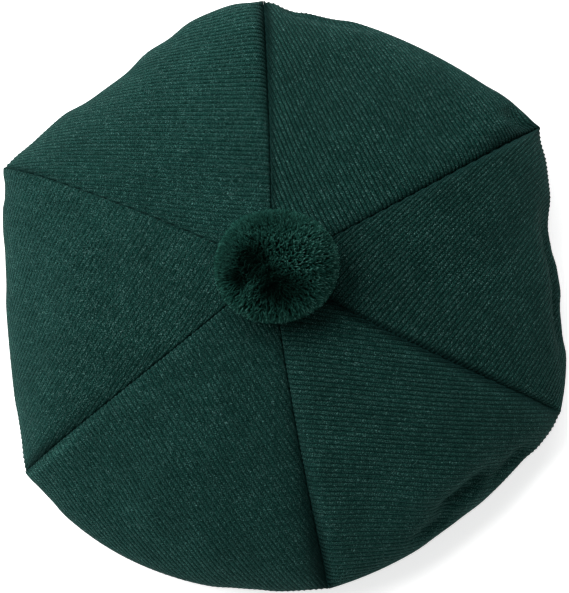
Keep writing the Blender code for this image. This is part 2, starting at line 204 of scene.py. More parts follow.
ROLL_BLEND = 2.5  # radii over which the surface's direction turns to the seam's
ON_SEAM = 0.001  # share of a panel's width within which a rib line ends on a seam
RIB_END_SET_BACK = 0.0006  # how far the gaps between ribs stay behind the ribs' ends at a seam
SET_BACK_FULL, SET_BACK_SHUT = 56.0, 76.0  # the turns between which they close up towards the rim
SEAM_SHADE_FULL = 84.0  # the turn to which the painted shade and highlight beside the seams reach, and where they end
SEAM_SHADE_END = 110.0
SEAM_CHANGE_MID, SEAM_CHANGE_RIM = 0.60, 0.88  # shares of the way out between which a seam's painted shade changes; its edges open out up to the first
# How the knit lies on each seam's two sides, before it and after it. roll is how wide its turned-in
# edge is, as a share of the model's. near, mid and rim are how dark painted shade makes it at
# EDGE_PLACES, shares of the way out: the shade of the seam's crease and the shadow cast across it.
# reach and rim_reach are how far into the panel that goes, and the last column is how much lighter a
# painted highlight makes it just past that, near the rim.
EDGE_PLACES = (0.42, 0.72, 0.90)
Edge = namedtuple("Edge", "seam side roll near mid rim reach rim_reach ridge")
EDGES = (
    Edge("right_rear", "before", 0.85, 0.46, 0.76, 0.95, 0.0031, 0.0031, 0.00),
    Edge("right_rear", "after", 0.85, 0.36, 0.24, 0.77, 0.0036, 0.0068, 0.00),
    Edge("rear", "before", 0.85, 0.60, 0.83, 0.98, 0.0028, 0.0040, 0.00),
    Edge("rear", "after", 0.85, 0.14, 0.62, 0.86, 0.0040, 0.0034, 0.00),
    Edge("left_rear", "before", 0.50, 0.00, 0.04, 0.56, 0.0020, 0.0020, 0.00),
    Edge("left_rear", "after", 0.50, 0.00, 0.08, 0.30, 0.0014, 0.0014, 0.00),
    Edge("left_front", "before", 0.55, 0.00, 0.06, 0.76, 0.0034, 0.0040, 0.00),
    Edge("left_front", "after", 0.55, 0.00, 0.00, 0.45, 0.0013, 0.0015, 0.60),
    Edge("front", "before", 0.90, 0.28, 0.69, 0.90, 0.0040, 0.0062, 0.00),
    Edge("front", "after", 0.90, 0.06, 0.48, 0.94, 0.0022, 0.0030, 0.00),
    Edge("right_front", "before", 0.95, 0.86, 0.95, 0.55, 0.0034, 0.0042, 0.00),
    Edge("right_front", "after", 0.95, 0.66, 0.90, 0.10, 0.0020, 0.0014, 0.50),
)
HIGHLIGHT_AWAY, HIGHLIGHT_WIDTH = 0.0030, 0.0022  # where the painted highlight's middle lies from its seam, and its width
APEX_ROLL = 0.45  # of the groove's width, where the seams meet under the pompom
UNDER_SLOPE = 0.8  # ribs to a rib pitch down the underside, near the hem
UNDER_EASE = 0.020  # how soon past the rim they get there
MAP_ACROSS = 121
MAP_TURN = 361
MAP_FINER = 8  # how many times finer than the map the ends of rib lines are looked for

# How each panel's ribs lie. at_first and at_last are how far they turn counter-clockwise from square
# to the panel's first seam, at that seam and at its last one. lifted is how far the first seam draws
# them towards the rim there. relief is how high its ribs stand, clear how plainly they show by the
# painted shade in the gaps between them, and tone how light its wool is, which is painted shade set
# for how the light falls on that panel.
Lay = namedtuple("Lay", "name at_first at_last lifted relief clear tone")
LAYS = (
    Lay("crown_panel_rear_right", 1.0, -11.0, 0.0, 1.15, 1.15, 0.99),
    Lay("crown_panel_rear_left", -1.0, -11.0, 0.0110, 0.62, 0.42, 0.98),
    Lay("crown_panel_left", -4.0, -14.0, 0.0, 0.45, 0.24, 0.88),
    Lay("crown_panel_front_left", -5.0, -4.0, 0.0, 0.85, 0.68, 0.88),
    Lay("crown_panel_front_right", -13.0, -13.0, 0.0, 0.95, 0.82, 0.83),
    Lay("crown_panel_right", -12.0, -22.0, 0.0, 0.95, 0.86, 0.74),
)
LIFT_REACH = 0.020  # how far from the seam it draws the ribs along
LIFT_GROWTH = 5.0

# Each panel's knit before it is sewn: its width at the rim, its length from apex to hem, and its area
Cut = namedtuple("Cut", "name width length area")
CUTS = (
    Cut("crown_panel_rear_right", 0.160, 0.252, 0.0240),
    Cut("crown_panel_rear_left", 0.163, 0.242, 0.0234),
    Cut("crown_panel_left", 0.155, 0.249, 0.0230),
    Cut("crown_panel_front_left", 0.171, 0.252, 0.0268),
    Cut("crown_panel_front_right", 0.152, 0.249, 0.0233),
    Cut("crown_panel_right", 0.149, 0.252, 0.0228),
)

# The headband: a strip of broader rib, folded lengthwise into a doubled ring
BAND_WALL = 0.0042
BAND_RIBS = 152
BAND_RIB_LINES = 8
BAND_RELIEF = 0.0006
BAND_SIDE_POINTS = 10
BAND_FOLD_POINTS = 5
# How its lower edge strays in and out of round: waves to a turn, how far, and where they start
Sway = namedtuple("Sway", "name waves far start")
BAND_SWAYS = (
    Sway("oval", 2, 0.0010, 0.6),
    Sway("soft_edge", 5, 0.0005, 2.1),
    Sway("ripple", 9, 0.0003, 0.9),
)

# The flat maps of the meshes. The ends' strips lie past the rings'.
BAKE_RINGS = 0.975  # share of the map's width that the rings take
BAKE_INNER = 0.25  # how finely the unseen inner side is baked, next to the outer side
BAKE_ENDS = (0.984, 0.994)
BAKE_END_SIZE = (0.004, 0.45)
# A strand's cell in its map, in shares of the cell: the size of its sides' part, and its two ends
CELL_SIDES = (0.92, 0.72)
CELL_END_RADIUS = 0.09
CELL_ROOT, CELL_TIP = (0.25, 0.86), (0.67, 0.86)

# Colours, and the look of the stitches. CROWN_LIT and BAND_LIT are painted highlights on the knit's fuzz.
CROWN_COLOUR = (0.0058, 0.0362, 0.0286)
CROWN_LIT = (0.1150, 0.1900, 0.1840)
BAND_COLOUR = (0.0068, 0.0375, 0.0295)
BAND_LIT = (0.0390, 0.0920, 0.0840)
POMPOM_COLOUR = (0.0100, 0.0530, 0.0405)
# the yarn's tips take this painted highlight where they stand out lit at the surface
POMPOM_TIP_HIGHLIGHT = (0.0350, 0.1020, 0.0860)
# painted shade deep inside the pompom, on its packed middle
POMPOM_DEEP_SHADE = (0.0006, 0.0020, 0.0018)
KNIT_TINT = (0.20, 0.80, 0.72)  # of the light that the fuzz sends back
YARN_TINT = (0.15, 0.75, 0.55)
WOOL_SPECULAR = 0.08
WOOL_SHEEN_ROUGHNESS = 0.45
RIB_WANDER = 0.25  # how far ribs and rows stray, in ribs and rows
ROW_WANDER = 1.2
WANDER_SCALE = 0.55  # how often they stray to and fro, to a rib
CREST_EDGE = 0.22  # how far from a rib's middle its crest ends, in ribs
STITCH_SLANT = 1.7  # rows that a stitch's legs rise from the gap to the crest
STITCH_DEPTH = 0.00035
# GAP_SHADE is painted shade in the gaps between ribs, and STITCH_SHADE painted shade in the dips between
# stitches.
GAP_SHADE = 0.78
STITCH_SHADE = 0.50
STITCH_LIGHT = 0.3  # share of that shade by which a painted highlight makes a stitch's highest part lighter
STITCH_UNEVEN = 0.16  # how much lighter or darker than their mean a stitch may be
FUZZ_SHADE = 0.90
FUZZ_SIZE = 0.00056
FUZZ_LIT = (0.50, 0.84)  # the fuzz's values where painted highlights on its fibres start to show, and where they show best
FUZZ_LIT_LEAST = 0.7  # how plainly they show on the stitch where they show least
MOTTLE_SIZE = 0.018
MOTTLE_SHADE = 0.12
GRAIN_RANGE = (0.25, 0.75)  # the fuzz's and the mottle's values that are darkest and lightest
STITCH_LIFT, CREST_LIFT, FUZZ_LIFT = 0.7, 0.8, 0.6  # shares of STITCH_DEPTH in the fine relief
FIBRE_SCALE, FIBRE_DEPTH = 2600.0, 0.0003
CORE_SCALE, CORE_DEPTH = 1400.0, 0.0008

# How light the yarn is: each row's value goes smoothly from first at low to last at high. tone is a
# strand's own, along the place along it, and out the place out from the ball's middle. The rows by
# along and out are painted light: highlights on the tips at the surface, and shade towards the roots
# and deep in the ball.
Ramp = namedtuple("Ramp", "by low high first last")
YARN_LIT = (
    Ramp("tone", 0.55, 1.00, 0.00, 1.00),
    Ramp("along", 0.75, 1.00, 0.00, 1.00),
    Ramp("out", 0.85, 1.00, 0.30, 1.00),
)
YARN_SHADE = (
    Ramp("along", 0.50, 1.00, 0.10, 1.00),
    Ramp("tone", 0.00, 1.00, 0.50, 1.50),
    Ramp("out", 0.62, 0.99, 0.03, 1.00),
    Ramp("fibre", 0.30, 0.70, 0.65, 1.35),
)
CORE_SHADE = Ramp("packed", 0.35, 0.70, 0.15, 0.75)
FLOOR_SHADE = Ramp("grain", 0.20, 0.80, 0.99, 1.01)

FLOOR_HALF = 6.0
FLOOR_WHITE = 0.90
FLOOR_SCALE = 40.0
FLOOR_GLOW = 0.64  # how far the floor is lit from below, as a light table is

# The view: the photo's frame is 569 by 593 pixels, and 0.5 mm to a pixel at the rim's height
FRAME_HEIGHT = 0.2965
VIEW_TARGET = (0.0010, -0.0030, 0.0270)
VIEW_ELEVATION = 80.0
VIEW_DISTANCE = 1.25
VIEW_CLIP = (0.05, 20.0)
SENSOR = 36.0

# The light: two round lamps from the left and rear, and an even white surround. Azimuths run
# counter-clockwise from +X.
Lamp = namedtuple("Lamp", "name azimuth elevation size power")
LAMPS = (
    Lamp("key", 160.0, 54.0, 1.6, 53.0),
    Lamp("rear", 106.0, 50.0, 2.2, 25.0),
)
LAMP_DISTANCE = 2.2
LIT_POINT = (0.0, 0.0, 0.05)
WORLD_STRENGTH = 0.30


def unit(vectors):
    return vectors / np.linalg.norm(vectors, axis=-1, keepdims=True)


def mix(first, last, share):
    return first + (last - first) * share


def lengths_along(points):
    """How far along its row each point lies."""
    steps = np.linalg.norm(np.diff(points, axis=1), axis=-1)
    return np.concatenate([np.zeros((len(points), 1)), np.cumsum(steps, axis=1)], axis=1)


def catmull_rom(values, place):
    """A smooth curve through values[1:-1]; place runs from 0 to 1."""
    values = np.asarray(values, float)
    spans = len(values) - 3
    place = np.clip(np.asarray(place, float), 0.0, 1.0) * spans
    index = np.minimum(place.astype(int), spans - 1)
    t = place - index
    a, b, c, d = (values[index + step] for step in range(4))
    return b + 0.5 * t * (c - a + t * (2 * a - 5 * b + 4 * c - d + t * (3 * (b - c) + d - a)))


def seam_end(seam):
    angle = math.radians(seam.angle)
    return np.array([math.cos(angle), math.sin(angle)]) * seam.reach


def panel_seams(index):
    """A panel's two seams, the second one's angle counted on past the first's."""
    first, last = SEAMS[index], SEAMS[(index + 1) % len(SEAMS)]
    if last.angle < first.angle:
        last = last._replace(angle=last.angle + 360.0)
    return first, last


def rim_line(index, across):
    """The rim seen from above: the chord between two seams, bulged out."""
    first, last = (seam_end(seam) for seam in panel_seams(index))
    chord = last - first
    outward = unit(np.array([chord[1], -chord[0]]))
    panel = PANELS[index]
    bulge = panel.bulge * 4 * across * (1 - across) * (1 + panel.lean * (1 - 2 * across))
    return first + chord * across[..., None] + outward * bulge[..., None]


def top_section(turn):
    """Share of the way out to the rim, and share of the height left above it."""
    angle = np.radians(np.clip(turn, 0.0, 90.0))
    return np.sin(angle) ** (2 / DOME_SPREAD), np.abs(np.cos(angle)) ** (2 * DOME_ROUND)


def seam_bow(index, across, reach):
    """How far the seams' sideways bows carry the points between them."""
    moved = 0.0
    for seam, share in zip(panel_seams(index), (1 - across, across)):
        direction = unit(seam_end(seam) - APEX)
        sideways = np.array([-direction[1], direction[0]])
        moved = moved + sideways * (seam.bow * 4 * reach * (1 - reach) * share)[..., None]
    return moved


def ease(value, low, high):
    """0 up to low, 1 from high on, and smoothly between them."""
    share = np.clip((value - low) / (high - low), 0.0, 1.0)
    return share * share * (3 - 2 * share)


def groove_share(turn):
    """How open the seams' grooves are along the top: widest near the rim, and shut as they cross it."""
    reach, _ = top_section(turn)
    return reach**GROOVE_GROWTH * (1 - ease(turn, GROOVE_FULL, GROOVE_SHUT))


def valley_depth(index, across, turn):
    """How far the soft valleys along both seams take the top down."""
    first, last = panel_seams(index)
    width = np.linalg.norm(seam_end(last) - seam_end(first)) * top_section(turn)[0]
    down = first.valley * np.exp(-((across * width / first.after) ** 2))
    down = down + last.valley * np.exp(-(((1 - across) * width / last.before) ** 2))
    return down * groove_share(turn)


def smooth_crown(index, across, turn):
    """Points of a panel's outer surface before its folds and turned-in edges."""
    across, turn = (np.asarray(part, float) for part in np.broadcast_arrays(across, turn))
    first, last = panel_seams(index)
    rim = rim_line(index, across)
    rim_height = mix(first.height, last.height, across)
    reach, rise = top_section(turn)
    top = APEX + (rim - APEX) * reach[..., None]
    top = top + seam_bow(index, across, reach)
    puff = PANELS[index].puff * np.sin(np.pi * across) * np.sin(np.radians(2 * np.clip(turn, 0, 90)))
    top_height = mix(rim_height, CROWN_TOP, rise) + puff - valley_depth(index, across, turn)

    place = np.clip((turn - 90.0) / 90.0, 0.0, 1.0)
    inward = catmull_rom([station.reach for station in UNDERSIDE], place)
    height = catmull_rom([station.height for station in UNDERSIDE], place)
    angle = np.radians(mix(first.angle, last.angle, across))
    hem = np.stack([np.cos(angle), np.sin(angle)], axis=-1) * HEM_RADIUS
    under = mix(hem, rim, inward[..., None])
    under_height = height + (rim_height - UNDERSIDE[1].height) * inward**2

    above = turn <= 90.0
    plan = np.where(above[..., None], top, under)
    return np.concatenate([plan, np.where(above, top_height, under_height)[..., None]], axis=-1)


def slopes(index, across, turn):
    """Unit steps down the section and across the panel, and the outward normal."""
    left, right = np.clip(across - SMALL_SHARE, 0, 1), np.clip(across + SMALL_SHARE, 0, 1)
    above, below = np.maximum(turn - SMALL_TURN, SMALL_TURN), np.minimum(turn + SMALL_TURN, 180.0)
    sideways = smooth_crown(index, right, turn) - smooth_crown(index, left, turn)
    down = smooth_crown(index, across, below) - smooth_crown(index, across, above)
    return unit(down), unit(sideways), unit(np.cross(down, sideways))


def fold_depth(index, across, turn):
    """How far the folds take the surface in, at each point."""
    rim = rim_line(index, across)
    angle = np.degrees(np.arctan2(rim[..., 1], rim[..., 0]))
    depth = np.zeros_like(turn)
    for fold in FOLDS:
        aside = (angle - fold.angle + 180.0) % 360.0 - 180.0
        along = np.exp(-((aside / fold.spread) ** 4))
        depth = depth + fold.depth * along * np.exp(-(((turn - fold.turn) / fold.width) ** 2))
    return depth


def edge_roll(seam, turn):
    """Radius of a seam's turned-in edges: widest in its groove, smallest where it crosses the rim."""
    past = ease(turn, GROOVE_FULL, GROOVE_SHUT)
    under = ease(turn, GROOVE_SHUT, 180.0)
    plain = mix(mix(EDGE_ROLL, RIM_ROLL, past), EDGE_ROLL, under)
    return plain + (seam.groove - EDGE_ROLL) * groove_share(turn)


def panel_edges(index):
    """The rows of EDGES on a panel's own side of its first seam and of its last one."""
    return EDGES[2 * index + 1], EDGES[2 * (index + 1) % len(EDGES)]


def shown_roll(index, at_last, turn):
    """The radius to which the knit's own edges turn in, tighter than the model's near the pompom."""
    share = panel_edges(index)[at_last].roll
    opened = ease(top_section(turn)[0], 0.0, SEAM_CHANGE_MID)
    return edge_roll(panel_seams(index)[at_last], turn) * mix(APEX_ROLL, share, opened)


def seam_normal(index, at_last, turn):
    """The outward normal on a seam, midway between its two panels'."""
    neighbour = (index + 2 * at_last - 1) % len(PANELS)
    own = slopes(index, np.full_like(turn, at_last), turn)[2]
    other = slopes(neighbour, np.full_like(turn, 1 - at_last), turn)[2]
    return unit(own + other)


class KnitMap:
    """How the ribs lie on one panel: rib is the distance across the ribs from the apex."""

    def __init__(self, index):
        self.index = index
        start = math.degrees(math.asin(APEX_HOLE ** (DOME_SPREAD / 2)))
        self.across = np.linspace(0.0, 1.0, MAP_ACROSS)
        self.turn = np.linspace(start, 180.0, MAP_TURN)
        grid = smooth_crown(index, self.across[:, None], self.turn[None, :])
        length = np.linalg.norm(grid[:, :1] - (*APEX, CROWN_TOP), axis=-1) + lengths_along(grid)
        rim = rim_line(index, self.across) - APEX
        bearing = np.unwrap(np.arctan2(rim[:, 1], rim[:, 0]))
        lay = LAYS[index]
        ribs = bearing[0] + math.pi / 2 + np.radians(mix(lay.at_first, lay.at_last, self.across))
        pull = 1 / np.tan(ribs - bearing)
        turned = np.concatenate([[0.0], np.cumsum((pull[1:] + pull[:-1]) / 2 * np.diff(bearing))])
        lean = (np.sin(ribs[0] - bearing[0]) * np.exp(-turned))[:, None]
        at_rim = np.array([np.interp(90.0, self.turn, row) for row in length])[:, None]
        past = np.maximum(length - at_rim, 0.0)
        eased = UNDER_EASE * (1 - np.exp(-past / UNDER_EASE))
        self.rib = np.minimum(length, at_rim) * lean + UNDER_SLOPE * past + (lean - UNDER_SLOPE) * eased
        from_seam = np.linalg.norm(grid[:, :, :2] - grid[:1, :, :2], axis=-1)
        near = np.exp(-((from_seam / LIFT_REACH) ** 2))
        self.rib -= lay.lifted * near * np.minimum(length / at_rim, 1.0) ** LIFT_GROWTH
        self.width = np.linalg.norm(np.diff(grid, axis=0), axis=-1).sum(axis=0)

    def width_at(self, turn):
        return np.interp(turn, self.turn, self.width)

    def line_ends(self, rib):
        """Where each rib line starts and ends, as shares of the panel's width."""
        share = np.linspace(0.0, 1.0, MAP_FINER * MAP_ACROSS)
        nearest = np.interp(share, self.across, self.rib[:, 0])
        furthest = np.interp(share, self.across, self.rib[:, -1])
        on_panel = (nearest <= rib[:, None]) & (rib[:, None] <= furthest)
        first = on_panel.argmax(axis=1)
        last = len(share) - 1 - on_panel[:, ::-1].argmax(axis=1)
        return share[first], share[last]

    def turns(self, rib, across):
        """The turns at which rib lines cross the given shares of the panel's width."""
        at_map = np.stack([np.interp(rib, row, self.turn) for row in self.rib])
        line = np.arange(len(rib))[:, None]
        place = across * (MAP_ACROSS - 1)
        below = np.minimum(place.astype(int), MAP_ACROSS - 2)
        return mix(at_map[below, line], at_map[below + 1, line], place - below)


def rib_wave(rib):
    """Height of the knit's relief across a rib, from 0 in its trough to 1 on its crest."""
    return np.abs(np.sin(np.pi * rib / RIB_PITCH)) ** RIB_ROUND


def line_shares(knit, rib):
    """Shares of the width where each rib line has its points, close together at its ends."""
    start, end = knit.line_ends(rib)
    ends = knit.turns(rib, np.stack([start, end], axis=1))
    edges = []
    for at_last in (0, 1):
        turn = ends[:, at_last]
        rolled = shown_roll(knit.index, at_last, turn) / knit.width_at(turn)
        edges.append(np.minimum(rolled, ROLL_MOST * (end - start)))
    shares = np.array(ROLL_SHARES)
    first = start[:, None] + edges[0][:, None] * shares
    last = end[:, None] - edges[1][:, None] * shares[::-1]
    steps = np.linspace(0.0, 1.0, RIB_COLUMNS)[1:-1]
    middle = first[:, -1:] + (last[:, :1] - first[:, -1:]) * steps
    outer = np.concatenate([first, middle, last], axis=1)
    inner = start[:, None] + (end - start)[:, None] * np.linspace(0.0, 1.0, INNER_COLUMNS)
    return outer, inner


def wall_points(knit, rib, across, turn, depth_in):
    """Points of the panel's wall, at a depth below its outer surface, its edges rolled in."""
    index = knit.index
    _, sideways, normal = slopes(index, across, turn)
    points = smooth_crown(index, across, turn)
    points = points - normal * fold_depth(index, across, turn)[..., None]
    width = knit.width_at(turn)
    wave = rib_wave(rib)[:, None]
    dip = np.full_like(turn, depth_in)
    on_line = points
    for at_last in (0, 1):
        towards = -1 if at_last else 1
        own = (1 - across if at_last else across) * width
        away = np.maximum(own, depth_in)
        roll = np.maximum(shown_roll(index, at_last, turn), ROLL_LEAST * depth_in)
        inside = np.clip(roll - away, 0.0, roll - depth_in)
        rolled = roll - np.sqrt(np.maximum((roll - depth_in) ** 2 - inside**2, 0.0))
        dip = np.maximum(dip, np.where(away < roll, rolled, 0.0))
        near = 1 - ease(away, 0.0, ROLL_BLEND * roll)
        normal = unit(mix(normal, seam_normal(index, at_last, turn), near[..., None]))
        rolled_share = (1 - np.clip(away / roll, 0.0, 1.0)) ** 0.5
        shut = ease(turn, SET_BACK_FULL, SET_BACK_SHUT)
        set_back = RIB_END_SET_BACK * (1 - wave) * rolled_share * (1 - shut)
        push = SHOWN_GAP / 2 * (1 - ease(away, 0.0, roll)) + set_back + away - own
        points = points + sideways * (towards * push)[..., None]
    stretched = RIM_FLAT * np.exp(-(((turn - 90.0) / RIM_FLAT_TURNS) ** 2))
    raised = mix(wave, WAVE_MEAN, stretched) * (1.0 if depth_in == 0 else INNER_RELIEF)
    relief = RIB_RELIEF * LAYS[index].relief * raised - RIB_SINK
    return points - normal * (dip - relief)[..., None], on_line, normal


def painted_seam_shade(knit, across, turn):
    """How much painted shade darkens the knit beside the seams, and below 0 how much a painted highlight
    lightens it.
    """
    out = top_section(turn)[0]
    at_rim = ease(out, SEAM_CHANGE_MID, SEAM_CHANGE_RIM)
    width = knit.width_at(turn)
    dark, light = 0.0, 0.0
    for edge, share in zip(panel_edges(knit.index), (across, 1 - across)):
        away = share * width
        deep = np.interp(out, EDGE_PLACES, (edge.near, edge.mid, edge.rim))
        reach = mix(edge.reach, edge.rim_reach, at_rim)
        dark = np.maximum(dark, deep * np.exp(-((away / reach) ** 3)))
        light = light + edge.ridge * at_rim**3 * np.exp(-(((away - HIGHLIGHT_AWAY) / HIGHLIGHT_WIDTH) ** 2))
    return (dark - light) * (1 - ease(turn, SEAM_SHADE_FULL, SEAM_SHADE_END))


def end_tips(knit, at_last, rib, across, shown, on_line, normal):
    """The ends of rib lines: where a turned-in edge meets the next panel's, or inside the hem."""
    end = -1 if at_last else 0
    turn = knit.turns(rib, across)[:, end]
    from_seam = 1 - across[:, end] if at_last else across[:, end]
    depth = np.maximum(shown_roll(knit.index, at_last, turn), WALL) + ALLOWANCE
    at_seam = on_line[:, end] - normal[:, end] * depth[:, None]
    at_hem = shown[:, end] - normal[:, end] * WALL / 2
    return np.where(from_seam[:, None] < ON_SEAM, at_seam, at_hem)


def knit_panel(index):
    """One panel as a closed wall: rib lines outside, coarser inside, joined round every edge."""
    knit = KnitMap(index)
    lowest, highest = knit.rib[:, 0].min(), knit.rib[:, -1].max()
    step = RIB_PITCH / RIB_LINES
    rib = np.arange(lowest + step, highest - step, step)
    outer, inner = line_shares(knit, rib)
    shown, on_line, normal = wall_points(knit, rib, outer, knit.turns(rib, outer), 0.0)
    back, _, _ = wall_points(knit, rib, inner, knit.turns(rib, inner), WALL)
    first, last = (end_tips(knit, at_last, rib, outer, shown, on_line, normal) for at_last in (0, 1))
    rings = np.concatenate([first[:, None], shown, last[:, None], back[:, ::-1]], axis=1)
    along = lengths_along(shown)
    along_in = np.stack([np.interp(*row) for row in zip(inner, outer, along)])
    rows = np.concatenate([along[:, :1], along, along[:, -1:], along_in[:, ::-1]], axis=1)
    weights = np.ones(rings.shape[1])
    weights[outer.shape[1] + 1:] = BAKE_INNER
    coords = knit_coords(rib / RIB_PITCH, np.concatenate([rows, rows[:, :1]], axis=1))
    mesh = ring_mesh(PANELS[index].name, rings, coords, weights)
    # Painted shade beside the seams, full on the rib lines' ends inside them.
    seam_painted_shade = np.zeros(rows.shape, np.float32)
    seam_painted_shade[:, 1:outer.shape[1] + 1] = painted_seam_shade(knit, outer, knit.turns(rib, outer))
    seam_painted_shade[:, 0], seam_painted_shade[:, outer.shape[1] + 1] = 1.0, 1.0
    mesh.attributes.new("painted_seam_shade", "FLOAT", "POINT").data.foreach_set("value", seam_painted_shade.ravel())
    return mesh


def bake_map(rings, closed, weights):
    """A flat map for rings of points: across the rings, and round each one."""
    spans = len(rings) if closed else len(rings) - 1
    steps = np.linalg.norm(np.roll(rings, -1, axis=1) - rings, axis=-1) * weights
    along = np.concatenate([np.zeros((len(rings), 1)), np.cumsum(steps, axis=1)], axis=1)
    along = np.concatenate([along, along[:1]]) if closed else along
    beside = np.arange(spans + 1)[:, None] * (BAKE_RINGS / spans)
    return np.stack([np.broadcast_to(beside, along.shape), along / along.max()], axis=-1)


def ring_mesh(name, rings, coords, weights, closed=False):
    """A mesh through rings of points, its first and last rings filled, or joined if it is closed.

    coords are the knit's at each ring's points and again at its first one. A closed mesh has them for
    its first ring again too. weights are how finely each step round a ring is baked.
    """
    count, size = rings.shape[:2]
    ring = np.arange(count if closed else count - 1)[:, None, None] + [0, 1, 1, 0]
    side = np.arange(size)[None, :, None] + [0, 0, 1, 1]
    faces = (ring % count * size + side % size).reshape(-1, 4).tolist()
    ends = []
    if not closed:
        ends = [(0, np.arange(size)), (count - 1, np.arange(size)[::-1])]
    faces += [(at * size + order).tolist() for at, order in ends]
    mesh = bpy.data.meshes.new(name)
    mesh.from_pydata(rings.reshape(-1, 3).tolist(), [], faces)
    turn = 2 * np.pi * np.arange(size) / size
    oval = np.stack([np.cos(turn), np.sin(turn)], axis=1) * BAKE_END_SIZE
    caps = [oval[order] + (middle, 0.5) for (_, order), middle in zip(ends, BAKE_ENDS)]
    flat = {"knit": [coords[at, order] for at, order in ends], "OFBake": caps}
    for kind, grid in (("knit", coords), ("OFBake", bake_map(rings, closed, weights))):
        corners = np.concatenate([grid[ring, side].reshape(-1, 2), *flat[kind]])
        mesh.uv_layers.new(name=kind).data.foreach_set("uv", corners.astype(np.float32).ravel())
    mesh.uv_layers.active_index = 0
    mesh.shade_smooth()
    return mesh


def knit_coords(rib, rows):
    """The knit's own coordinates, in ribs and rows, from ribs and lengths along them."""
    return np.stack(np.broadcast_arrays(rib[:, None], rows / ROW_PITCH), axis=-1)


def band_section():
    """Round the headband's section from its lower edge: the way out at each point, and the height."""
    side = np.linspace(0.0, 1.0, BAND_SIDE_POINTS)
    fold = np.linspace(0.0, np.pi, BAND_FOLD_POINTS + 2)[1:-1]
    way = np.concatenate([np.zeros_like(side), fold, np.full_like(side, np.pi), np.pi + fold])
    level = np.concatenate([side, np.ones_like(fold), side[::-1], np.zeros_like(fold)])
    return way, level


def make_headband():
    rib = np.arange(BAND_RIBS * BAND_RIB_LINES + 1) / BAND_RIB_LINES
    around = 2 * np.pi * rib / BAND_RIBS
    way, level = band_section()
    half = (BAND_WALL / 2 - BAND_RELIEF * (1 - rib_wave(rib * RIB_PITCH)))[:, None]
    sway = sum(sway.far * np.sin(sway.waves * around + sway.start) for sway in BAND_SWAYS)
    radius = BAND_OUTER - BAND_WALL / 2 + sway[:, None] * (1 - level) ** 2 + half * np.cos(way)
    height = mix(BAND_WALL / 2, BAND_TOP - BAND_WALL / 2, level) + half * np.sin(way)
    rings = np.stack([radius * np.cos(around)[:, None], radius * np.sin(around)[:, None], height], axis=-1)
    steps = np.linalg.norm(np.roll(rings[0], -1, axis=0) - rings[0], axis=-1)
    coords = knit_coords(rib, np.concatenate([[0.0], np.cumsum(steps)]))
    mesh = ring_mesh("headband_knit", rings[:-1], coords, 1.0, closed=True)
    wool = knit_material("headband_wool", BAND_COLOUR, BAND_LIT, 1.0)
    piece = add_piece("headband_knit", mesh, wool, "headband")


def direction_of(azimuth, elevation):
    azimuth, elevation = math.radians(azimuth), math.radians(elevation)
    level = math.cos(elevation)
    return np.array([level * math.cos(azimuth), level * math.sin(azimuth), math.sin(elevation)])


def nearness(directions, spot, edge=2):
    """1 in the direction of a spot on the ball, falling to 0 past its width."""
    middle = direction_of(spot.azimuth, spot.elevation)
    away = np.degrees(np.arccos(np.clip(directions @ middle, -1.0, 1.0)))
    return np.exp(-((away / spot.width) ** edge))


def tuft_depth(directions):
    """How far the hollows between the tufts take the ball in."""
    return sum(tuft.depth * nearness(directions, tuft) for tuft in TUFTS)


def shape_pompom(directions):
    """Points of the unit ball at their real size, dented and squashed."""
    spot = directions * POMPOM_SIZE - directions * tuft_depth(directions)[:, None]
    below = directions[:, 2] < 0.0
    level = np.linalg.norm(directions[:, :2], axis=1)
    spot[:, :2] *= np.where(below, np.maximum(level, POMPOM_FOOT) ** (POMPOM_SPLAY - 1.0), 1.0)[:, None]
    spot[:, 2] *= np.where(below, POMPOM_SQUASH, 1.0)
    return spot


def pompom_place(spots):
    """The ball's points, leaning from the apex, where they are in the frame."""
    middle = POMPOM_SIZE[2] * POMPOM_SQUASH
    lean = np.clip(1.0 + spots[..., 2:] / middle, 0.0, POMPOM_LEAN_END)
    level = APEX + spots[..., :2] + POMPOM_LEAN * lean
    return np.concatenate([level, POMPOM_BASE + middle + spots[..., 2:]], axis=-1)


def even_directions(count, lowest):
    """Directions spread evenly over the ball, down to a height on it."""
    step = (np.arange(count) + 0.5) / count
    height = 1.0 - step * (1.0 - lowest)
    turn = np.pi * (3.0 - math.sqrt(5.0)) * np.arange(count)
    level = np.sqrt(1.0 - height**2)
    return np.stack([level * np.cos(turn), level * np.sin(turn), height], axis=1)


def parted(directions):
    """What the partings take off the yarn in each direction, and how much painted shade darkens it there.
    """
    missing, shade = np.zeros(len(directions)), np.zeros(len(directions))
    for parting in PARTINGS:
        near = nearness(directions, parting, PARTING_EDGE)
        missing = np.maximum(missing, parting.depth * near)
        shade = np.maximum(shade, parting.shade * near)
    return missing, shade


def strand_lines(chance):
    """Strands' middle lines at their rings, their tones, and how far out in the ball the rings are,
    lowered where the partings paint shade.
    """
    even = even_directions(STRANDS, STRAND_LOWEST)
    directions = unit(even + chance.normal(0, STRAND_JITTER, (STRANDS, 3)))
    missing, shade = parted(directions)
    tips = shape_pompom(directions) * (1.0 - missing)[:, None]
    tips = tips + directions * chance.normal(STRAND_PROUD, STRAND_UNEVEN, STRANDS)[:, None]
    root = np.minimum(STRAND_ROOT, 1.0 - missing - STRAND_LEAST)
    roots = shape_pompom(directions) * root[:, None]
    bend = chance.normal(0, STRAND_BEND, (STRANDS, 3))
    shares = np.array(STRAND_PLACES)[None, :, None]
    lines = mix(roots[:, None], tips[:, None], shares)
    lines = lines + bend[:, None] * (4 * shares * (1 - shares))
    # out also takes the partings' painted shade
    out = mix(root[:, None], 1.0 - missing[:, None], shares[..., 0]) * (1.0 - shade[:, None])
    return lines, chance.uniform(0.0, 1.0, STRANDS), out


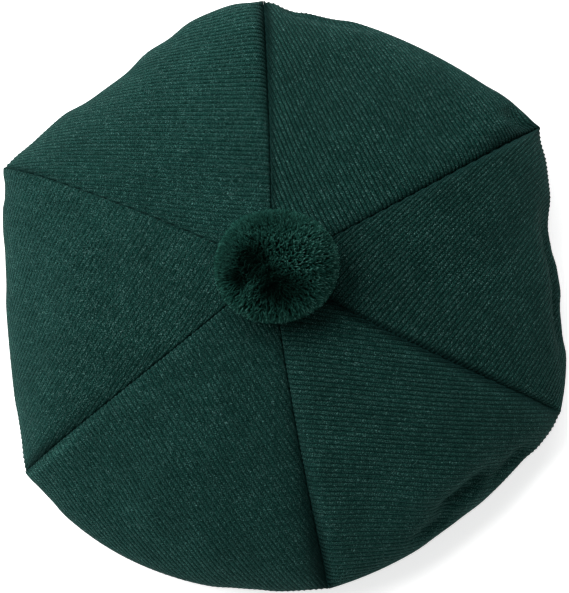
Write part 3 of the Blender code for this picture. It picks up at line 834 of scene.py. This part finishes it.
def strand_bake_map(count, rings):
    """A flat map with a cell for every strand: its sides below, and its two ends above them."""
    cells = math.ceil(math.sqrt(count))
    place = np.arange(count)
    cell = np.stack([place % cells, place // cells], axis=1)[:, None, None]
    side = (np.arange(STRAND_SIDES)[:, None] + [0, 1, 1, 0]) / STRAND_SIDES
    ring = (np.arange(rings - 1)[:, None] + [0, 0, 1, 1]) / (rings - 1)
    sides = np.stack(np.broadcast_arrays(side[None], ring[:, None]), axis=-1) * CELL_SIDES
    turn = 2 * np.pi * (np.arange(STRAND_SIDES) + 0.5) / STRAND_SIDES
    end = np.stack([np.cos(turn), np.sin(turn)], axis=1) * CELL_END_RADIUS
    roots = end[::-1] * (-1.0, 1.0) + CELL_ROOT
    tips = end + CELL_TIP
    return [
        (cell[:, None] + sides.reshape(1, rings - 1, STRAND_SIDES, 4, 2)) / cells,
        (cell[:, 0] + roots) / cells,
        (cell[:, 0] + tips) / cells,
    ]


def strand_mesh(name, lines, tone, out):
    """Closed strands round their middle lines.

    The attribute yarn holds each strand's tone, the place along it and the place out from the middle,
    from which the material paints shade deep in the ball and highlights on the tips.
    """
    count, rings = lines.shape[:2]
    along = unit(lines[:, -1] - lines[:, 0])
    first = unit(np.cross(along, along[:, [1, 2, 0]] + STRAND_SKEW))
    second = np.cross(along, first)
    turn = 2 * np.pi * np.arange(STRAND_SIDES) / STRAND_SIDES
    radius = STRAND_RADIUS * np.array(STRAND_TAPER)
    around = np.cos(turn)[:, None] * first[:, None] + np.sin(turn)[:, None] * second[:, None]
    points = lines[:, :, None] + around[:, None] * radius[None, :, None, None]
    start = np.arange(count)[:, None, None] * (rings * STRAND_SIDES)
    ring = np.arange(rings - 1)[None, :, None] * STRAND_SIDES
    side = np.arange(STRAND_SIDES)[None, None, :]
    after = (side + 1) % STRAND_SIDES
    here, beyond = start + ring, start + ring + STRAND_SIDES
    sides = np.stack([here + side, here + after, beyond + after, beyond + side], axis=-1).reshape(-1, 4)
    cap = np.arange(STRAND_SIDES)[None, :]
    roots = start[:, 0] + cap[:, ::-1]
    tips = start[:, 0] + (rings - 1) * STRAND_SIDES + cap
    mesh = bpy.data.meshes.new(name)
    mesh.from_pydata(points.reshape(-1, 3).tolist(), [], np.concatenate([sides, roots, tips]).tolist())
    values = np.zeros((count, rings, STRAND_SIDES, 3), np.float32)
    values[..., 0] = tone[:, None, None]
    values[..., 1] = np.array(STRAND_PLACES)[None, :, None]
    values[..., 2] = out[:, :, None]
    layer = mesh.attributes.new("yarn", "FLOAT_VECTOR", "POINT")
    layer.data.foreach_set("vector", values.ravel())
    corners = np.concatenate([part.reshape(-1, 2) for part in strand_bake_map(count, rings)])
    mesh.uv_layers.new(name="OFBake").data.foreach_set("uv", corners.astype(np.float32).ravel())
    mesh.shade_smooth()
    return mesh


def core_mesh(name):
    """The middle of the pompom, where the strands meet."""
    shape = bmesh.new()
    bmesh.ops.create_icosphere(shape, subdivisions=CORE_FINENESS, radius=1.0)
    mesh = bpy.data.meshes.new(name)
    shape.to_mesh(mesh)
    shape.free()
    spots = np.empty(len(mesh.vertices) * 3, np.float32)
    mesh.vertices.foreach_get("co", spots)
    directions = unit(spots.reshape(-1, 3).astype(float))
    share = CORE_SHARE * (1.0 - parted(directions)[0])
    placed = pompom_place(shape_pompom(directions) * share[:, None])
    mesh.vertices.foreach_set("co", placed.astype(np.float32).ravel())
    mesh.shade_smooth()
    return mesh


def make_pompom():
    chance = np.random.default_rng(STRAND_SEED)
    lines, tone, out = strand_lines(chance)
    strands = strand_mesh("pompom_yarn", pompom_place(lines), tone, out)
    add_piece("pompom_yarn", strands, yarn_material(), "pompom")
    add_piece("pompom_core", core_mesh("pompom_core"), core_material(), "pompom")


def add_object(name, data):
    thing = bpy.data.objects.new(name, data)
    bpy.context.scene.collection.objects.link(thing)
    return thing


def add_piece(name, mesh, material, node):
    piece = add_object(name, mesh)
    piece.data.materials.append(material)
    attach(piece, "root")
    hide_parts(node)
    return piece


class Nodes:
    """Short ways to add and link a material's nodes."""

    def __init__(self, name):
        self.material = bpy.data.materials.new(name)
        self.material.use_nodes = True
        self.tree = self.material.node_tree
        self.surface = self.tree.nodes["Principled BSDF"]

    def give(self, socket, value):
        if isinstance(value, bpy.types.NodeSocket):
            self.tree.links.new(value, socket)
        else:
            socket.default_value = value

    def set(self, name, value):
        self.give(self.surface.inputs[name], value)

    def add(self, kind, output, settings, **inputs):
        node = self.tree.nodes.new(kind)
        for name, value in settings.items():
            setattr(node, name, value)
        for name, value in inputs.items():
            self.give(node.inputs[int(name[1:]) if name[0] == "_" else name], value)
        return node.outputs[output]

    def solid(self):
        """The place in the object's own space."""
        return self.add("ShaderNodeTexCoord", "Object", {})

    def split(self, vector):
        parts = self.tree.nodes.new("ShaderNodeSeparateXYZ")
        self.tree.links.new(vector, parts.inputs[0])
        return parts.outputs

    def math(self, operation, first, second=0.0, third=0.0):
        return self.add("ShaderNodeMath", 0, {"operation": operation}, _0=first, _1=second, _2=third)

    def product(self, first, *others):
        for other in others:
            first = self.math("MULTIPLY", first, other)
        return first

    def ramp(self, value, low, high, first=0.0, last=1.0):
        """value taken smoothly from first at low to last at high."""
        settings = {"interpolation_type": "SMOOTHSTEP"}
        return self.add("ShaderNodeMapRange", 0, settings, _0=value, _1=low, _2=high, _3=first, _4=last)

    def noise(self, place, scale, detail=2.0, rough=0.5):
        inputs = {"Vector": place, "Scale": scale, "Detail": detail, "Roughness": rough}
        return self.add("ShaderNodeTexNoise", "Fac", {}, **inputs)

    def shade(self, colour, factor):
        """A colour times a number."""
        return self.add("ShaderNodeVectorMath", 0, {"operation": "SCALE"}, _0=colour, Scale=factor)

    def blend(self, factor, first, second):
        colours = {"_6": (*first, 1.0), "_7": (*second, 1.0)}
        return self.add("ShaderNodeMix", 2, {"data_type": "RGBA"}, _0=factor, **colours)

    def bump(self, height, distance):
        return self.add("ShaderNodeBump", 0, {}, Height=height, Distance=distance, Strength=1.0)


def soft_surface(nodes, roughness, sheen, tint):
    """A matt, fuzzy wool surface."""
    nodes.set("Roughness", roughness)
    nodes.set("Specular IOR Level", WOOL_SPECULAR)
    nodes.set("Specular Tint", (*tint, 1.0))
    nodes.set("Sheen Weight", sheen)
    nodes.set("Sheen Roughness", WOOL_SHEEN_ROUGHNESS)
    nodes.set("Sheen Tint", (*tint, 1.0))


def knit_material(name, colour, lit, clear, light=1.0):
    """Rib knit: V stitches along every rib, fuzz, a mild mottle, and painted light: shade in the gaps
    between ribs and in the stitches' dips, highlights on their tops and on the fuzz, and shade and
    highlights beside the seams.

    clear is how plainly the ribs show, by the gaps' painted shade, and light how light the wool
    looks, which is a painted shade for each panel.
    """
    nodes = Nodes(name)
    place = nodes.add("ShaderNodeUVMap", 0, {"uv_map": "knit"})
    solid = nodes.solid()
    rib, row, _ = nodes.split(place)
    wander = nodes.math("SUBTRACT", nodes.noise(place, WANDER_SCALE), 0.5)
    rib = nodes.math("MULTIPLY_ADD", wander, RIB_WANDER, rib)
    row = nodes.math("MULTIPLY_ADD", wander, ROW_WANDER, row)
    aside = nodes.math("ABSOLUTE", nodes.math("SUBTRACT", nodes.math("FRACT", rib), 0.5))
    crest = nodes.ramp(aside, 0.5, CREST_EDGE)
    leg = nodes.math("MULTIPLY_ADD", aside, -STITCH_SLANT, row)
    wave = nodes.math("COSINE", nodes.product(leg, 2 * math.pi))
    stitch = nodes.math("MULTIPLY_ADD", wave, 0.5, 0.5)
    cell = nodes.add("ShaderNodeCombineXYZ", 0, {}, X=nodes.math("FLOOR", rib), Y=nodes.math("ROUND", leg))
    uneven = nodes.add("ShaderNodeTexWhiteNoise", "Value", {"noise_dimensions": "2D"}, Vector=cell)
    fuzz = nodes.noise(solid, 1 / FUZZ_SIZE, detail=3.0, rough=0.65)
    mottle = nodes.noise(solid, 1 / MOTTLE_SIZE, detail=3.0, rough=0.55)
    seam_painted_shade = nodes.add("ShaderNodeAttribute", "Fac", {"attribute_name": "painted_seam_shade"})
    # Painted shade in the gaps between ribs and the stitches' dips, a painted highlight on their tops,
    # painted shade and highlights beside the seams, and each panel's painted shade.
    tone = nodes.product(
        nodes.ramp(crest, 0.0, 1.0, 1.0 - GAP_SHADE * clear, 1.0),
        nodes.ramp(stitch, 0.0, 1.0, 1.0 - STITCH_SHADE, 1.0 + STITCH_LIGHT * STITCH_SHADE),
        nodes.ramp(uneven, 0.0, 1.0, 1.0 - STITCH_UNEVEN, 1.0 + STITCH_UNEVEN),
        nodes.ramp(fuzz, *GRAIN_RANGE, 1.0 - FUZZ_SHADE, 1.0 + FUZZ_SHADE),
        nodes.ramp(mottle, *GRAIN_RANGE, 1.0 - MOTTLE_SHADE, 1.0 + MOTTLE_SHADE),
        nodes.math("SUBTRACT", 1.0, seam_painted_shade),
        light,
    )
    # painted highlights on the fuzz's fibres
    bright = nodes.product(nodes.ramp(fuzz, *FUZZ_LIT), nodes.ramp(uneven, 0.0, 1.0, FUZZ_LIT_LEAST, 1.0))
    base = nodes.blend(bright, colour, lit)
    nodes.set("Base Color", nodes.shade(base, tone))
    height = nodes.math("MULTIPLY_ADD", stitch, STITCH_LIFT, nodes.product(crest, CREST_LIFT))
    height = nodes.math("MULTIPLY_ADD", fuzz, FUZZ_LIFT, height)
    nodes.set("Normal", nodes.bump(height, STITCH_DEPTH))
    soft_surface(nodes, roughness=0.92, sheen=0.08, tint=KNIT_TINT)
    return nodes.material


def yarn_material():
    """Cut yarn: painted shade towards the root and deep in the ball, a painted highlight on the fuzzy
    tips, every strand a little different.
    """
    nodes = Nodes("pompom_strands")
    tone, along, out = nodes.split(nodes.add("ShaderNodeAttribute", "Vector", {"attribute_name": "yarn"}))
    fibre = nodes.noise(nodes.solid(), FIBRE_SCALE, detail=3.0, rough=0.6)
    values = {"tone": tone, "along": along, "out": out, "fibre": fibre}
    # painted highlights on the tips at the surface, and painted shade towards the roots and deep inside
    lit = nodes.product(*(nodes.ramp(values[row.by], *row[1:]) for row in YARN_LIT))
    base = nodes.blend(lit, POMPOM_COLOUR, POMPOM_TIP_HIGHLIGHT)
    shade = nodes.product(*(nodes.ramp(values[row.by], *row[1:]) for row in YARN_SHADE))
    nodes.set("Base Color", nodes.shade(base, shade))
    nodes.set("Normal", nodes.bump(fibre, FIBRE_DEPTH))
    soft_surface(nodes, roughness=0.95, sheen=0.06, tint=YARN_TINT)
    return nodes.material


# The pompom's packed middle, darkened with painted shade.
def core_material():
    nodes = Nodes("pompom_middle")
    packed = nodes.noise(nodes.solid(), CORE_SCALE, detail=3.0, rough=0.6)
    shade = nodes.ramp(packed, *CORE_SHADE[1:])
    nodes.set("Base Color", nodes.blend(shade, POMPOM_DEEP_SHADE, POMPOM_COLOUR))
    nodes.set("Normal", nodes.bump(packed, CORE_DEPTH))
    soft_surface(nodes, roughness=0.95, sheen=0.0, tint=(1.0, 1.0, 1.0))
    return nodes.material


def floor_material():
    nodes = Nodes("floor_white")
    grain = nodes.noise(nodes.solid(), FLOOR_SCALE, detail=3.0)
    nodes.set("Base Color", nodes.shade((FLOOR_WHITE,) * 3, nodes.ramp(grain, *FLOOR_SHADE[1:])))
    nodes.set("Roughness", 0.9)
    nodes.set("Emission Color", (1.0, 1.0, 1.0, 1.0))
    nodes.set("Emission Strength", FLOOR_GLOW)
    return nodes.material


def make_panels():
    for index, (panel, lay, cut) in enumerate(zip(PANELS, LAYS, CUTS)):
        mesh = knit_panel(index)
        wool = knit_material(panel.name + "_wool", CROWN_COLOUR, CROWN_LIT, lay.clear, lay.tone)
        piece = add_piece(panel.name + "_knit", mesh, wool, panel.name)


def make_camera():
    data = bpy.data.cameras.new("camera")
    data.sensor_width = SENSOR
    data.lens = SENSOR * VIEW_DISTANCE / FRAME_HEIGHT
    data.clip_start, data.clip_end = VIEW_CLIP
    camera = add_object("camera", data)
    tilt = math.radians(VIEW_ELEVATION)
    back = Vector((0.0, -math.cos(tilt), math.sin(tilt)))
    camera.location = Vector(VIEW_TARGET) + back * VIEW_DISTANCE
    camera.rotation_euler = (math.radians(90.0 - VIEW_ELEVATION), 0.0, 0.0)
    bpy.context.scene.camera = camera


def make_floor():
    size = FLOOR_HALF
    mesh = bpy.data.meshes.new("floor")
    corners = [(-size, -size, 0), (size, -size, 0), (size, size, 0), (-size, size, 0)]
    mesh.from_pydata(corners, [], [(0, 1, 2, 3)])
    floor = add_object("floor", mesh)
    floor.data.materials.append(floor_material())


def area_light(lamp):
    data = bpy.data.lights.new(lamp.name, "AREA")
    data.shape = "DISK"
    data.size = lamp.size
    data.energy = lamp.power
    light = add_object(lamp.name, data)
    towards = Vector(direction_of(lamp.azimuth, lamp.elevation))
    light.location = Vector(LIT_POINT) + towards * LAMP_DISTANCE
    light.rotation_euler = (-towards).to_track_quat("-Z", "Y").to_euler()


def make_light():
    world = bpy.data.worlds.new("studio")
    world.use_nodes = True
    background = world.node_tree.nodes["Background"].inputs
    background["Color"].default_value = (1.0, 1.0, 1.0, 1.0)
    background["Strength"].default_value = WORLD_STRENGTH
    bpy.context.scene.world = world
    for lamp in LAMPS:
        area_light(lamp)
    bpy.context.scene.view_settings.view_transform = "Standard"


make_camera()
make_floor()
make_light()
make_panels()
make_headband()
make_pompom()
